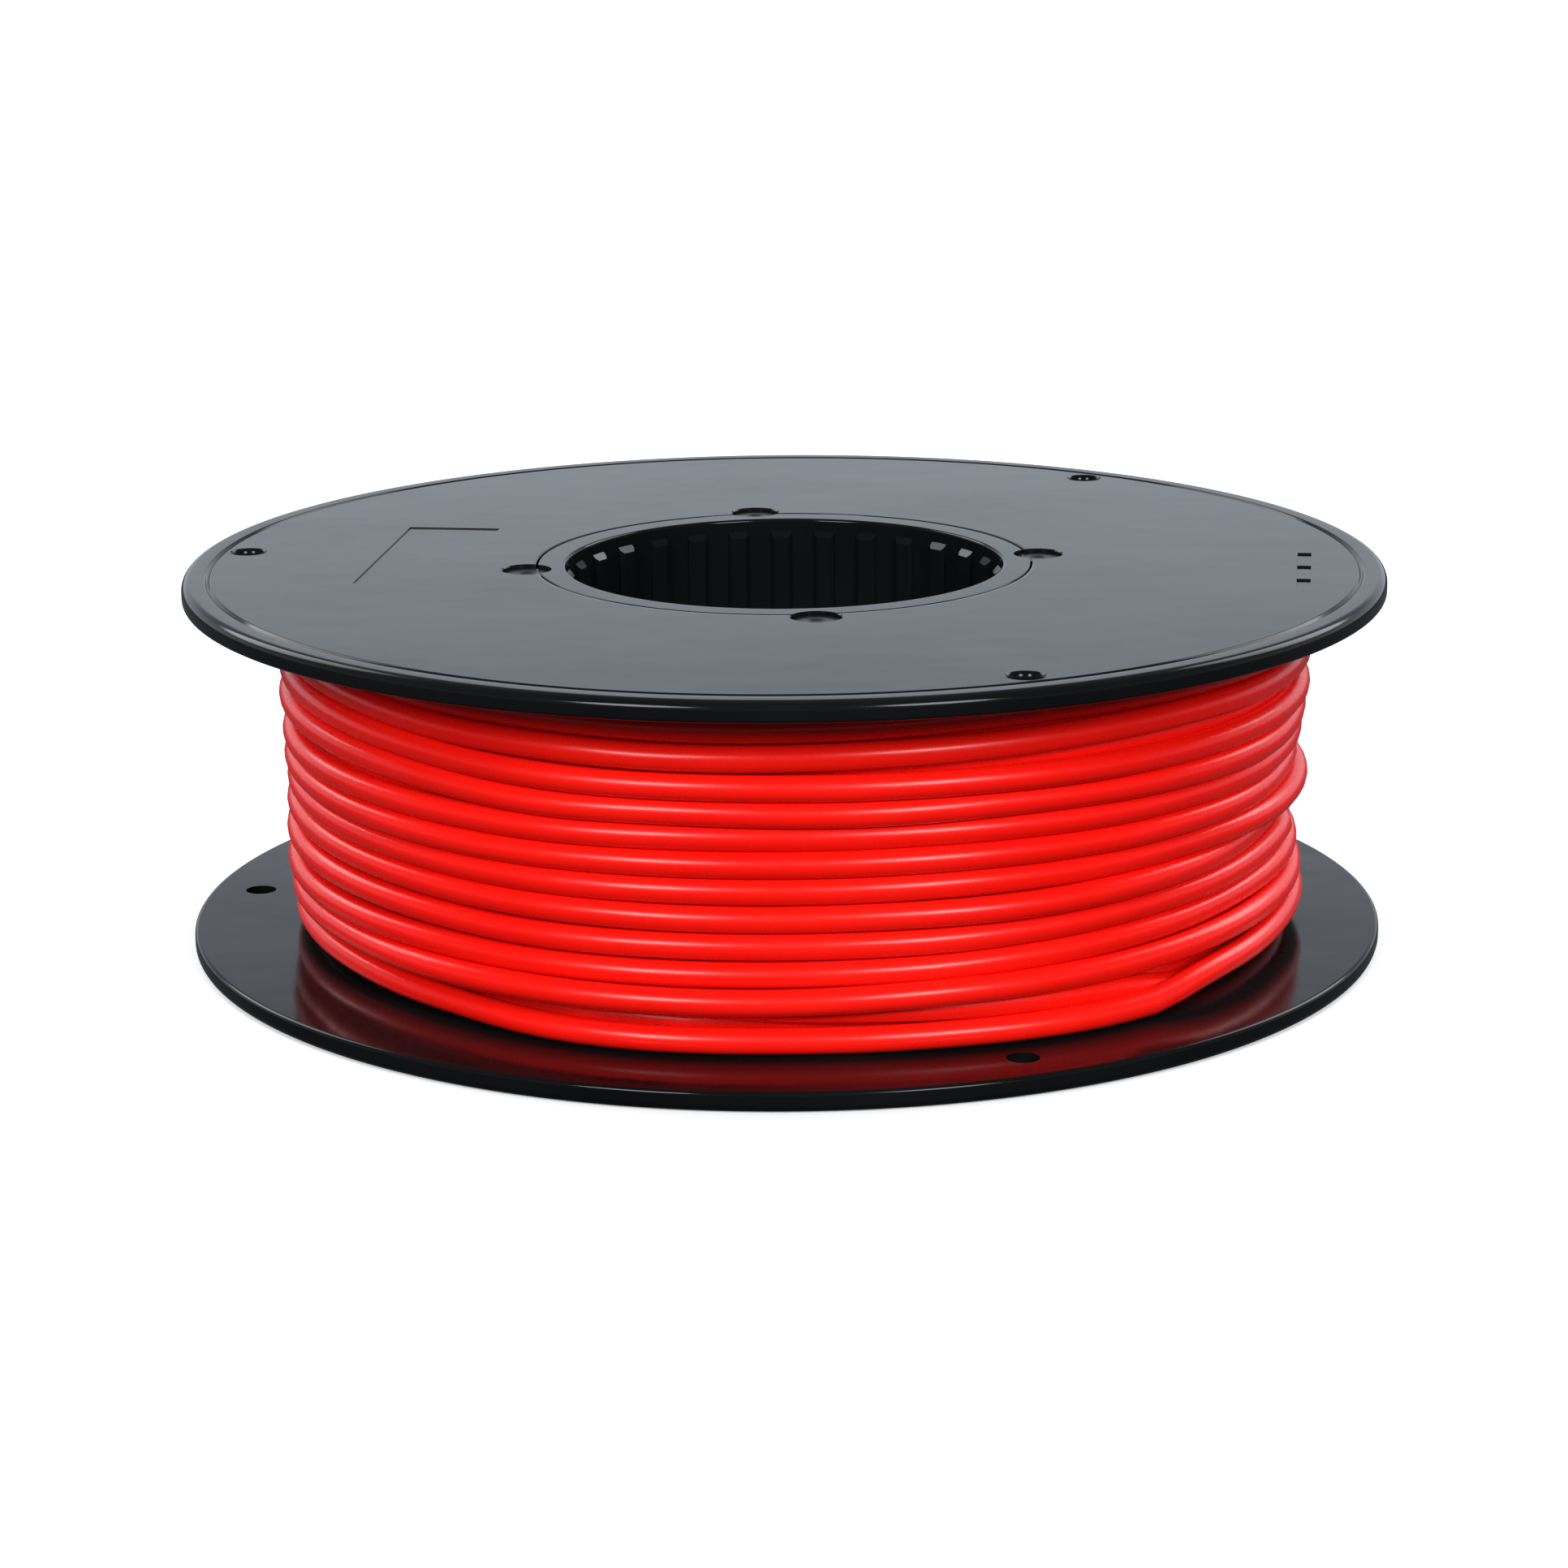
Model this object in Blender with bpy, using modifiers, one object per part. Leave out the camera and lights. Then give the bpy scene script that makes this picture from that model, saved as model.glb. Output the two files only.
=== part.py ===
"""Wire spool: two moulded flanges on a hub, locked by round keys, wound with insulated wire.

Units are metres. The spool's axis is Z, and the underside of the lower flange is at Z = 0.
"""

import math

import bmesh
import bpy
from mathutils import Matrix, Vector

# Driving dimensions
FLANGE_RADIUS = 0.100
SPOOL_HEIGHT = 0.063
FLANGE_THICKNESS = 0.0034
BORE_RADIUS = 0.0365
WIRE_DIAMETER = 0.0042
CONDUCTOR_DIAMETER = 0.0025
WOUND_RADIUS = 0.0865
GAP = 0.0003

# Flange rim: a rounded outer edge behind a narrow groove
RIM_TOP_ROUND = 0.0015
RIM_INNER_ROUND = 0.0007
RIM_GROOVE_RADIUS = 0.0957
RIM_GROOVE_WIDTH = 0.0013
RIM_GROOVE_DEPTH = 0.0005

# Hub: a bore sleeve inside a winding barrel, joined by four key columns
COLLAR_RADIUS = 0.0411
SLEEVE_WALL = 0.0025
BARREL_RADIUS = 0.0490
BARREL_WALL = 0.0025
COLUMN_RADIUS = 0.0054
BORE_RIBS = 30
RIB_WIDTH = 0.0034
RIB_DEPTH = 0.0010
RIB_BURY = 0.0008
RIB_SETBACK = 0.0013

# Lock keys, on the joint between the hub's collar and each flange
KEYS = 4
KEY_RADIUS = 0.0038
KEY_CIRCLE_RADIUS = 0.0430
KEY_LENGTH = 0.0100
KEY_SINK = 0.0006
FIRST_KEY_ANGLE = 6.7

# Wire-end holes near the rim, with a lead-in on the outer face
END_HOLES = 3
END_HOLE_RADIUS = 0.0026
END_HOLE_LEAD_IN = 0.0008
END_HOLE_CIRCLE_RADIUS = 0.0915
INDEX_ANGLE = 173.0

# Blank label panel and three plain tick bars, both sunk into the outer face
PANEL_LENGTH = 0.0468
PANEL_WIDTH = 0.0157
PANEL_DEPTH = 0.0004
PANEL_CIRCLE_RADIUS = 0.0605
TICK_BARS = 3
TICK_LENGTH = 0.0080
TICK_WIDTH = 0.0022
TICK_PITCH = 0.0105
TICK_DEPTH = 0.0003
TICK_CIRCLE_RADIUS = 0.0863

# Wire-end route past the pack and down into the lower flange's third hole:
# degrees before the hole, radius, height
END_ROUTE = (
    (36.0, 0.0889, 0.0150),
    (27.0, 0.0889, 0.0150),
    (18.0, 0.0891, 0.0149),
    (11.5, 0.0898, 0.0144),
    (6.8, 0.0907, 0.0128),
    (3.2, 0.0914, 0.0099),
    (1.0, 0.0915, 0.0063),
    (0.1, 0.0915, 0.0030),
    (0.0, 0.0915, 0.0004),
)
ROUTE_STEPS = 3
INSULATION_BORE = CONDUCTOR_DIAMETER + 2 * GAP

FLANGE_STEPS = 72
HUB_STEPS = 60
HOLE_STEPS = 20
ARC_STEPS = 3

PLASTIC_BLACK = (0.018, 0.020, 0.022)
KEY_BLACK = (0.022, 0.023, 0.025)
WIRE_RED = (0.80, 0.010, 0.006)
COPPER = (0.72, 0.32, 0.17)


def clear_scene():
    for item in list(bpy.data.objects):
        bpy.data.objects.remove(item, do_unlink=True)


def make_collection(name):
    collection = bpy.data.collections.new(name)
    bpy.context.scene.collection.children.link(collection)
    return collection


def make_material(name, colour, roughness, metallic=0.0):
    material = bpy.data.materials.new(name)
    material.use_nodes = True
    shader = material.node_tree.nodes["Principled BSDF"]
    shader.inputs["Base Color"].default_value = (*colour, 1.0)
    shader.inputs["Roughness"].default_value = roughness
    shader.inputs["Metallic"].default_value = metallic
    return material


def add_object(name, mesh, collection, material=None):
    item = bpy.data.objects.new(name, mesh)
    collection.objects.link(item)
    if material:
        mesh.materials.append(material)
    return item


def polar(angle, radius, height=0.0):
    """The point at an angle in degrees, a radius and a height about the spool's axis."""
    theta = math.radians(angle)
    return Vector((radius * math.cos(theta), radius * math.sin(theta), height))


def arc(centre_x, centre_z, radius, start, end):
    """Profile points on an arc from one angle to another, in degrees."""
    angles = [math.radians(start + (end - start) * step / ARC_STEPS) for step in range(ARC_STEPS + 1)]
    return [(centre_x + radius * math.cos(a), centre_z + radius * math.sin(a)) for a in angles]


def turn(name, profile, collection, material=None, steps=FLANGE_STEPS, closed=True):
    """Turn a profile of (radius, height) points round the Z axis."""
    mesh = bpy.data.meshes.new(name)
    edges = [(i, i + 1) for i in range(len(profile) - 1)]
    if closed:
        edges.append((len(profile) - 1, 0))
    mesh.from_pydata([(x, 0.0, z) for x, z in profile], edges, [])
    item = add_object(name, mesh, collection, material)
    screw = item.modifiers.new("turn", "SCREW")
    screw.steps = steps
    screw.render_steps = steps
    screw.use_merge_vertices = True
    screw.merge_threshold = 0.0001
    screw.use_smooth_shade = True
    return item


def make_cutter(item):
    item.hide_render = True
    item.display_type = "WIRE"
    return item


def combine(item, other, operation):
    modifier = item.modifiers.new(f"{operation.lower()} {other.name}", "BOOLEAN")
    modifier.operation = operation
    modifier.object = other
    modifier.solver = "EXACT"


def cylinder(name, radius, length, collection, material=None):
    """A cylinder standing on its origin."""
    mesh = bpy.data.meshes.new(name)
    shape = bmesh.new()
    bmesh.ops.create_cone(
        shape,
        cap_ends=True,
        segments=HOLE_STEPS,
        radius1=radius,
        radius2=radius,
        depth=length,
        matrix=Matrix.Translation((0.0, 0.0, length / 2)),
    )
    shape.to_mesh(mesh)
    shape.free()
    return add_object(name, mesh, collection, material)


def box(name, size, collection):
    """A box centred on its origin."""
    mesh = bpy.data.meshes.new(name)
    shape = bmesh.new()
    bmesh.ops.create_cube(shape, size=1.0, matrix=Matrix.Diagonal((*size, 1.0)))
    shape.to_mesh(mesh)
    shape.free()
    return add_object(name, mesh, collection)


def smooth_round_faces(item):
    mesh = item.data
    mesh.shade_smooth()
    mesh.set_sharp_from_angle(angle=math.radians(30.0))


def key_angles():
    return [FIRST_KEY_ANGLE + 360.0 * number / KEYS for number in range(KEYS)]


def end_hole_angles():
    return [INDEX_ANGLE - 360.0 * number / END_HOLES for number in range(END_HOLES)]


def flange_profile():
    """A flange's section, outer face up at height 0, running down its outer side."""
    half_groove = RIM_GROOVE_WIDTH / 2
    bottom = -FLANGE_THICKNESS
    points = [
        (COLLAR_RADIUS + GAP, 0.0),
        (RIM_GROOVE_RADIUS - half_groove, 0.0),
        (RIM_GROOVE_RADIUS, -RIM_GROOVE_DEPTH),
        (RIM_GROOVE_RADIUS + half_groove, 0.0),
    ]
    points += arc(FLANGE_RADIUS - RIM_TOP_ROUND, -RIM_TOP_ROUND, RIM_TOP_ROUND, 90.0, 0.0)
    points += arc(FLANGE_RADIUS - RIM_INNER_ROUND, bottom + RIM_INNER_ROUND, RIM_INNER_ROUND, 0.0, -90.0)
    points.append((COLLAR_RADIUS + GAP, bottom))
    return points


def end_hole_cutter(name, cutters):
    """A through hole whose outer end widens by the lead-in, at 45 degrees."""
    mouth = END_HOLE_RADIUS + 2 * END_HOLE_LEAD_IN
    profile = [
        (0.0, END_HOLE_LEAD_IN),
        (mouth, END_HOLE_LEAD_IN),
        (END_HOLE_RADIUS, -END_HOLE_LEAD_IN),
        (END_HOLE_RADIUS, -2 * FLANGE_THICKNESS),
        (0.0, -2 * FLANGE_THICKNESS),
    ]
    return make_cutter(turn(name, profile, cutters, steps=HOLE_STEPS, closed=False))


def place_on_face(item, angle, radius, outer_height, facing):
    """Put an item made for an outer face at height 0 onto a flange facing up (1) or down (-1)."""
    item.location = polar(angle, radius, outer_height)
    flip = 0.0 if facing > 0 else math.pi
    item.rotation_euler = (flip, 0.0, math.radians(angle))


def make_flange(name, outer_height, facing, parts, cutters, material):
    """A flange with its outer face at a height, facing up (1) or down (-1)."""
    flange = turn(name, flange_profile(), parts, material)
    place_on_face(flange, 0.0, 0.0, outer_height, facing)
    for angle in end_hole_angles():
        hole = end_hole_cutter(f"{name} end hole {angle:.0f}", cutters)
        place_on_face(hole, angle, END_HOLE_CIRCLE_RADIUS, outer_height, facing)
        combine(flange, hole, "DIFFERENCE")
    for angle in key_angles():
        depth = 4 * FLANGE_THICKNESS
        seat = make_cutter(cylinder(f"{name} key seat {angle:.0f}", KEY_RADIUS + GAP, depth, cutters))
        seat.location = polar(angle, KEY_CIRCLE_RADIUS, outer_height - depth / 2)
        combine(flange, seat, "DIFFERENCE")
    panel = make_cutter(box(f"{name} panel", (PANEL_WIDTH, PANEL_LENGTH, 2 * PANEL_DEPTH), cutters))
    place_on_face(panel, INDEX_ANGLE, PANEL_CIRCLE_RADIUS, outer_height, facing)
    combine(flange, panel, "DIFFERENCE")
    tick_size = (TICK_WIDTH, TICK_LENGTH, 2 * TICK_DEPTH)
    for number in range(TICK_BARS):
        tick = make_cutter(box(f"{name} tick {number + 1}", tick_size, cutters))
        place_on_face(tick, INDEX_ANGLE - 180.0, TICK_CIRCLE_RADIUS, outer_height, facing)
        tick.location += polar(INDEX_ANGLE - 90.0, (number - (TICK_BARS - 1) / 2) * TICK_PITCH)
        combine(flange, tick, "DIFFERENCE")


def sleeve_profile():
    """The bore sleeve with a collar at each end that fills the flange's opening."""
    outside = BORE_RADIUS + SLEEVE_WALL
    upper_shoulder = SPOOL_HEIGHT - FLANGE_THICKNESS
    lower_shoulder = FLANGE_THICKNESS
    return [
        (BORE_RADIUS, SPOOL_HEIGHT),
        (COLLAR_RADIUS, SPOOL_HEIGHT),
        (COLLAR_RADIUS, upper_shoulder),
        (outside, upper_shoulder),
        (outside, lower_shoulder),
        (COLLAR_RADIUS, lower_shoulder),
        (COLLAR_RADIUS, 0.0),
        (BORE_RADIUS, 0.0),
    ]


def barrel_profile():
    inside = BARREL_RADIUS - BARREL_WALL
    top = SPOOL_HEIGHT - FLANGE_THICKNESS - GAP
    bottom = FLANGE_THICKNESS + GAP
    return [(inside, top), (BARREL_RADIUS, top), (BARREL_RADIUS, bottom), (inside, bottom)]


def bore_rib(name, collection):
    """One bore rib: a bar with both ends sloped, standing inward from the sleeve's wall."""
    low = RIB_SETBACK
    high = SPOOL_HEIGHT - RIB_SETBACK
    wall = BORE_RADIUS + RIB_BURY
    face = BORE_RADIUS - RIB_DEPTH
    slope = wall - face
    outline = [(wall, low), (face, low + slope), (face, high - slope), (wall, high)]
    mesh = bpy.data.meshes.new(name)
    shape = bmesh.new()
    side = [shape.verts.new((x, -RIB_WIDTH / 2, z)) for x, z in outline]
    cap = shape.faces.new(side)
    pushed = bmesh.ops.extrude_face_region(shape, geom=[cap])
    moved = [v for v in pushed["geom"] if isinstance(v, bmesh.types.BMVert)]
    bmesh.ops.translate(shape, verts=moved, vec=(0.0, RIB_WIDTH, 0.0))
    bmesh.ops.recalc_face_normals(shape, faces=shape.faces)
    shape.to_mesh(mesh)
    shape.free()
    return add_object(name, mesh, collection)


def make_hub(parts, cutters, material):
    """The bore sleeve, winding barrel, key columns and bore ribs, moulded in one piece."""
    hub = turn("hub", sleeve_profile(), parts, material, steps=HUB_STEPS)
    barrel = make_cutter(turn("hub barrel", barrel_profile(), cutters, steps=HUB_STEPS))
    combine(hub, barrel, "UNION")
    low = FLANGE_THICKNESS + GAP
    column_length = SPOOL_HEIGHT - 2 * low
    for angle in key_angles():
        column = make_cutter(cylinder(f"hub column {angle:.0f}", COLUMN_RADIUS, column_length, cutters))
        column.location = polar(angle, KEY_CIRCLE_RADIUS, low)
        combine(hub, column, "UNION")
    for angle in key_angles():
        seat = make_cutter(cylinder(f"hub key seat {angle:.0f}", KEY_RADIUS + GAP, 2 * SPOOL_HEIGHT, cutters))
        seat.location = polar(angle, KEY_CIRCLE_RADIUS, -SPOOL_HEIGHT / 2)
        combine(hub, seat, "DIFFERENCE")
    for number in range(BORE_RIBS):
        rib = make_cutter(bore_rib(f"hub rib {number + 1}", cutters))
        rib.rotation_euler.z = math.radians(FIRST_KEY_ANGLE + 360.0 * number / BORE_RIBS)
        combine(hub, rib, "UNION")


def make_keys(parts, material):
    """Eight round keys, each half in the hub's collar and half in a flange."""
    for number, angle in enumerate(key_angles(), start=1):
        upper = cylinder(f"upper_key_{number}", KEY_RADIUS, KEY_LENGTH, parts, material)
        upper.location = polar(angle, KEY_CIRCLE_RADIUS, SPOOL_HEIGHT - KEY_SINK - KEY_LENGTH)
        lower = cylinder(f"lower_key_{number}", KEY_RADIUS, KEY_LENGTH, parts, material)
        lower.location = polar(angle, KEY_CIRCLE_RADIUS, KEY_SINK)
        smooth_round_faces(upper)
        smooth_round_faces(lower)


def make_winding(parts, material):
    """The outer shape of the whole wound wire, as a ring with rounded outer corners."""
    low = FLANGE_THICKNESS + GAP
    high = SPOOL_HEIGHT - low
    inside = BARREL_RADIUS + GAP
    corner = WIRE_DIAMETER / 2
    profile = [(inside, high)]
    profile += arc(WOUND_RADIUS - corner, high - corner, corner, 90.0, 0.0)
    profile += arc(WOUND_RADIUS - corner, low + corner, corner, 0.0, -90.0)
    profile.append((inside, low))
    turn("wire_winding", profile, parts, material, steps=HUB_STEPS)


def smooth_points(points, steps):
    """Points on a smooth curve through the given ones."""
    ends = [2 * points[0] - points[1], *points, 2 * points[-1] - points[-2]]
    result = []
    for before, start, end, after in zip(ends, ends[1:], ends[2:], ends[3:]):
        for step in range(steps):
            t = step / steps
            result.append(
                0.5
                * (
                    2 * start
                    + (end - before) * t
                    + (2 * before - 5 * start + 4 * end - after) * t**2
                    + (3 * start - before - 3 * end + after) * t**3
                )
            )
    return [*result, points[-1]]


def end_route():
    last_hole = end_hole_angles()[1]
    points = [polar(last_hole - before, radius, height) for before, radius, height in END_ROUTE]
    return smooth_points(points, ROUTE_STEPS)


def tube(name, points, diameter, collection, material=None):
    """A closed tube along a line of points, as a mesh."""
    curve = bpy.data.curves.new(name, "CURVE")
    curve.dimensions = "3D"
    curve.bevel_depth = diameter / 2
    curve.bevel_resolution = 2
    curve.use_fill_caps = True
    spline = curve.splines.new("POLY")
    spline.points.add(len(points) - 1)
    for point, place in zip(spline.points, points):
        point.co = (*place, 1.0)
    guide = bpy.data.objects.new(f"{name} guide", curve)
    collection.objects.link(guide)
    bpy.context.view_layer.update()
    evaluated = guide.evaluated_get(bpy.context.evaluated_depsgraph_get())
    mesh = bpy.data.meshes.new_from_object(evaluated)
    mesh.name = name
    shape = bmesh.new()
    shape.from_mesh(mesh)
    bmesh.ops.remove_doubles(shape, verts=shape.verts, dist=0.00001)
    bmesh.ops.recalc_face_normals(shape, faces=shape.faces)
    shape.to_mesh(mesh)
    shape.free()
    mesh.materials.clear()
    item = add_object(name, mesh, collection, material)
    item.matrix_world = guide.matrix_world
    bpy.data.objects.remove(guide, do_unlink=True)
    smooth_round_faces(item)
    return item


def make_wire_end(parts, cutters, insulation, copper):
    """The wire's outer end: a length of insulation with the conductor inside it."""
    route = end_route()
    sleeve = tube("wire_end_insulation", route, WIRE_DIAMETER, parts, insulation)
    before = route[0] + (route[0] - route[1])
    beyond = route[-1] + (route[-1] - route[-2])
    bore = make_cutter(tube("insulation bore", [before, *route, beyond], INSULATION_BORE, cutters))
    combine(sleeve, bore, "DIFFERENCE")
    tube("wire_end_conductor", route, CONDUCTOR_DIAMETER, parts, copper)


def main():
    clear_scene()
    parts = make_collection("wire_spool")
    cutters = make_collection("cutters")
    plastic = make_material("black plastic", PLASTIC_BLACK, 0.25)
    key_plastic = make_material("key plastic", KEY_BLACK, 0.35)
    insulation = make_material("red insulation", WIRE_RED, 0.30)
    copper = make_material("copper", COPPER, 0.30, metallic=1.0)
    make_flange("upper_flange", SPOOL_HEIGHT, 1, parts, cutters, plastic)
    make_flange("lower_flange", 0.0, -1, parts, cutters, plastic)
    make_hub(parts, cutters, plastic)
    make_keys(parts, key_plastic)
    make_winding(parts, insulation)
    make_wire_end(parts, cutters, insulation, copper)


main()
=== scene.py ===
"""Looks for the wire spool: fine moulded flanges, hub and keys, and the real wound wire, on a pale floor.

Units are metres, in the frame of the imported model: the spool's axis is Z and it stands on Z = 0.
Azimuths are in degrees, with -90 towards the camera.
"""

import math

import bmesh
import bpy
import numpy as np
from mathutils import Matrix, Vector


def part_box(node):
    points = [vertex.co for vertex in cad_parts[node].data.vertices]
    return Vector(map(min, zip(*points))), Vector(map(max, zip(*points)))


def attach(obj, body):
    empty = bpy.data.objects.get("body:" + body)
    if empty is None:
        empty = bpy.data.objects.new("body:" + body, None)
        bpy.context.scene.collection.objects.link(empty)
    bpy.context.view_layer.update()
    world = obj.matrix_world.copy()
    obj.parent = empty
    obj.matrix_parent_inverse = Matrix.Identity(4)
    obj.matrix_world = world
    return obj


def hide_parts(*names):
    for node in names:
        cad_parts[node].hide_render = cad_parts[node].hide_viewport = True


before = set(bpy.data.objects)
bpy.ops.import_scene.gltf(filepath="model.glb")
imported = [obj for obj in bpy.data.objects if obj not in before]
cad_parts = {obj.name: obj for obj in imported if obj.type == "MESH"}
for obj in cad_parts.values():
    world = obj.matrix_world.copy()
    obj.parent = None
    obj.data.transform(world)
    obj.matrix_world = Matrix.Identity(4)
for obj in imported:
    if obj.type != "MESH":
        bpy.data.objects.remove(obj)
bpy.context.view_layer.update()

MM = 0.001

# ---------------------------------------------------------------- sizes read from the frame
LOWER_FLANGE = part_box("lower_flange")
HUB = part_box("hub")
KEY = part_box("upper_key_1")
FLANGE_RADIUS = LOWER_FLANGE[1][0]
FLANGE_THICKNESS = LOWER_FLANGE[1][2]
SPOOL_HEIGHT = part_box("upper_flange")[1][2]
BARREL_RADIUS = HUB[1][0]
KEY_RADIUS = (KEY[1][0] - KEY[0][0]) / 2
KEY_LENGTH = KEY[1][2] - KEY[0][2]
KEY_SINK = SPOOL_HEIGHT - KEY[1][2]

# ---------------------------------------------------------------- sizes repeated from the CAD source
GAP = 0.0003
BORE_RADIUS = 0.0365
COLLAR_RADIUS = 0.0411
SLEEVE_WALL = 0.0025
BARREL_WALL = 0.0025
COLUMN_RADIUS = 0.0054
WIRE_DIAMETER = 0.0042
CONDUCTOR_DIAMETER = 0.0025
RIM_TOP_ROUND = 0.0015
RIM_INNER_ROUND = 0.0007
RIM_GROOVE_RADIUS = 0.0957
RIM_GROOVE_WIDTH = 0.0013
RIM_GROOVE_DEPTH = 0.0005
BORE_RIBS = 30
RIB_WIDTH = 0.0034
RIB_DEPTH = 0.0010
RIB_BURY = 0.0008
RIB_SETBACK = 0.0013
KEYS = 4
KEY_CIRCLE_RADIUS = 0.0430
FIRST_KEY_ANGLE = 6.7
END_HOLES = 3
END_HOLE_RADIUS = 0.0026
END_HOLE_LEAD_IN = 0.0008
END_HOLE_CIRCLE_RADIUS = 0.0915
INDEX_ANGLE = 173.0
PANEL_LENGTH = 0.0468
PANEL_WIDTH = 0.0157
PANEL_CIRCLE_RADIUS = 0.0605
TICK_BARS = 3
TICK_LENGTH = 0.0080
TICK_WIDTH = 0.0022
TICK_PITCH = 0.0105
TICK_DEPTH = 0.0003
TICK_CIRCLE_RADIUS = 0.0863

# ---------------------------------------------------------------- finer shape
# The panel is drawn shallower than the CAD source's, as it looks in the photograph
PANEL_DEPTH = 0.0002
MOUTH_ROUND = 0.0005
KEY_DIMPLE = 0.0003

# A pocket's widening and an end hole's lift above the face, as shares of their depth
POCKET_DRAFT = 0.6
MOUTH_LIFT = 0.1

# An edge round, its middle point, and the first ring on the flat beside it, as shares of the round
EDGE_ROUND = 0.0002
EDGE_MIDDLE = 0.3
EDGE_FLAT_RING = 3.0

# The section of a key's dimple: shares of the key's radius and of the dimple's depth
DIMPLE_SECTION = ((0.0, 1.0), (0.25, 0.8), (0.45, 0.0))

# How finely round shapes are divided
FLANGE_STEPS = 320
HUB_STEPS = 240
END_HOLE_STEPS = 48
KEY_STEPS = 40
RIM_TOP_STEPS = 10
RIM_INNER_STEPS = 6
MOUTH_STEPS = 5
EDGE_STEPS = 4
LEAD_IN_POINTS = 7
GROOVE_POINTS = 9

# The angles in degrees above which an edge looks sharp, and the distance under which points are one
MOULDED_SHARP = 32.0
WIRE_SHARP = 50.0
SAME_POINT = 0.000001

# The wire's outer end: degrees before its hole, radius, height
END_ROUTE = (
    (36.0, 0.0889, 0.0150),
    (27.0, 0.0889, 0.0150),
    (18.0, 0.0891, 0.0149),
    (11.5, 0.0898, 0.0144),
    (6.8, 0.0907, 0.0128),
    (3.2, 0.0914, 0.0099),
    (1.0, 0.0915, 0.0063),
    (0.1, 0.0915, 0.0030),
    (0.0, 0.0915, 0.0004),
)
END_ROUTE_STEPS = 4

# ---------------------------------------------------------------- the wire's tube and its strands
WIRE_SIDES = 16
BORED_POINTS = 12
STRANDED_POINTS = 14
STRAND_LAYERS = (1, 6, 12)
STRAND_SIDES = 8
STRAND_LAY = 0.024
STRAND_FILL = 0.98

# ---------------------------------------------------------------- the winding
# The least radius and the height range of the wire's centreline, and a radius that its turns seldom pass
CORE = BARREL_RADIUS + GAP + WIRE_DIAMETER / 2
LOW = FLANGE_THICKNESS + GAP + WIRE_DIAMETER / 2
HIGH = SPOOL_HEIGHT - LOW
OUTER_LIMIT = 0.0856

# Each turn starts at azimuth -180. Only the outer turns keep all their points
TURN_POINTS = 96
HIDDEN_STRIDE = 3
LAYERS_BENEATH = 8
ROW_GAPS = 12

# Where a turn steps over to the next row, and how long that takes, as shares of a turn.
# The first place is that of the layer under the last, and the others' places are spread out
STEP_OVER = 0.75
STEP_OVER_WIDTH = 0.16
STEP_OVER_FIRST = 0.15
STEP_OVER_SPREAD = 0.43
STEP_OVER_RANGE = 0.7

# The rows beneath wander a little in height, and all heights are evened out along the wire
SEED = 7
WANDER = 0.00012
WANDER_POINTS = 19
EASING_ROUNDS = 12

# Laying pulls each turn tight over those below. Settling then lets the outer turns press on each other
LAY_ROUNDS = 120
SETTLING_TURNS = 26
SETTLING_ROUNDS = 160
SETTLING_PULL = 0.04
SETTLING_TENSION = 0.4
SETTLING_PUSH = 0.65
LEAST_APART = 0.00001

# Under the last layer, one strand's width is left open on this side, below this height
HOLLOW_AZIMUTH = -8.0
HOLLOW_HALF_WIDTH = 28.0
HOLLOW_EDGE = 40.0
HOLLOW_HEIGHT = 0.0290

# The last layer's rows in the order they are laid: heights in mm at these azimuths, which pass the front.
# They go from the bottom row to the top one, and then the row that leads out
STATIONS = (-165.0, -150.0, -130.0, -90.0, -60.0, -40.0, -20.0, 0.0)
ROWS = (
    (7.6, 7.3, 6.6, 5.8, 5.9, 6.8, 8.4, 9.2),
    (12.0, 12.0, 12.1, 12.2, 12.3, 12.5, 12.9, 13.4),
    (16.2, 16.1, 16.3, 16.5, 16.7, 16.9, 17.2, 17.6),
    (25.6, 25.4, 25.3, 25.2, 25.6, 25.6, 25.6, 25.6),
    (30.4, 30.0, 29.5, 29.4, 29.7, 29.4, 29.0, 28.8),
    (34.6, 34.2, 33.7, 33.5, 33.8, 33.9, 33.2, 32.8),
    (38.4, 38.2, 37.9, 37.6, 37.6, 37.4, 36.6, 36.2),
    (44.6, 44.0, 42.3, 41.8, 41.3, 41.0, 40.2, 39.8),
    (47.6, 47.2, 46.6, 46.0, 45.8, 44.8, 43.9, 43.6),
    (53.0, 51.6, 50.4, 50.8, 51.2, 50.4, 49.2, 48.6),
    (57.0, 55.8, 55.2, 55.4, 56.0, 56.0, 55.2, 54.6),
    (21.8, 21.3, 20.9, 20.9, 21.0, 21.0, 21.2, 21.4),
)

# After the top row the wire comes down across the back, and is down at this azimuth
LANDING = 138.0

# The last turn ends at this azimuth, where the route to the end hole takes over
LAST_TURN_END = -7.5

# ---------------------------------------------------------------- colours
BLACK_PLASTIC = ((0.0035, 0.0040, 0.0045), (0.0060, 0.0068, 0.0075))
KEY_PLASTIC = ((0.006, 0.0065, 0.007), (0.009, 0.0095, 0.010))
RED_INSULATION = ((0.84, 0.0060, 0.0030), (0.90, 0.0090, 0.0045))
COPPER = ((0.60, 0.24, 0.12), (0.80, 0.40, 0.24))
PALE_FLOOR = ((0.90, 0.90, 0.90), (0.93, 0.93, 0.93))
WHITE = (1.0, 1.0, 1.0, 1.0)

# Soft noise seldom leaves this part of its 0 to 1 range
NOISE_SPAN = (0.3, 0.7)

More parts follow.
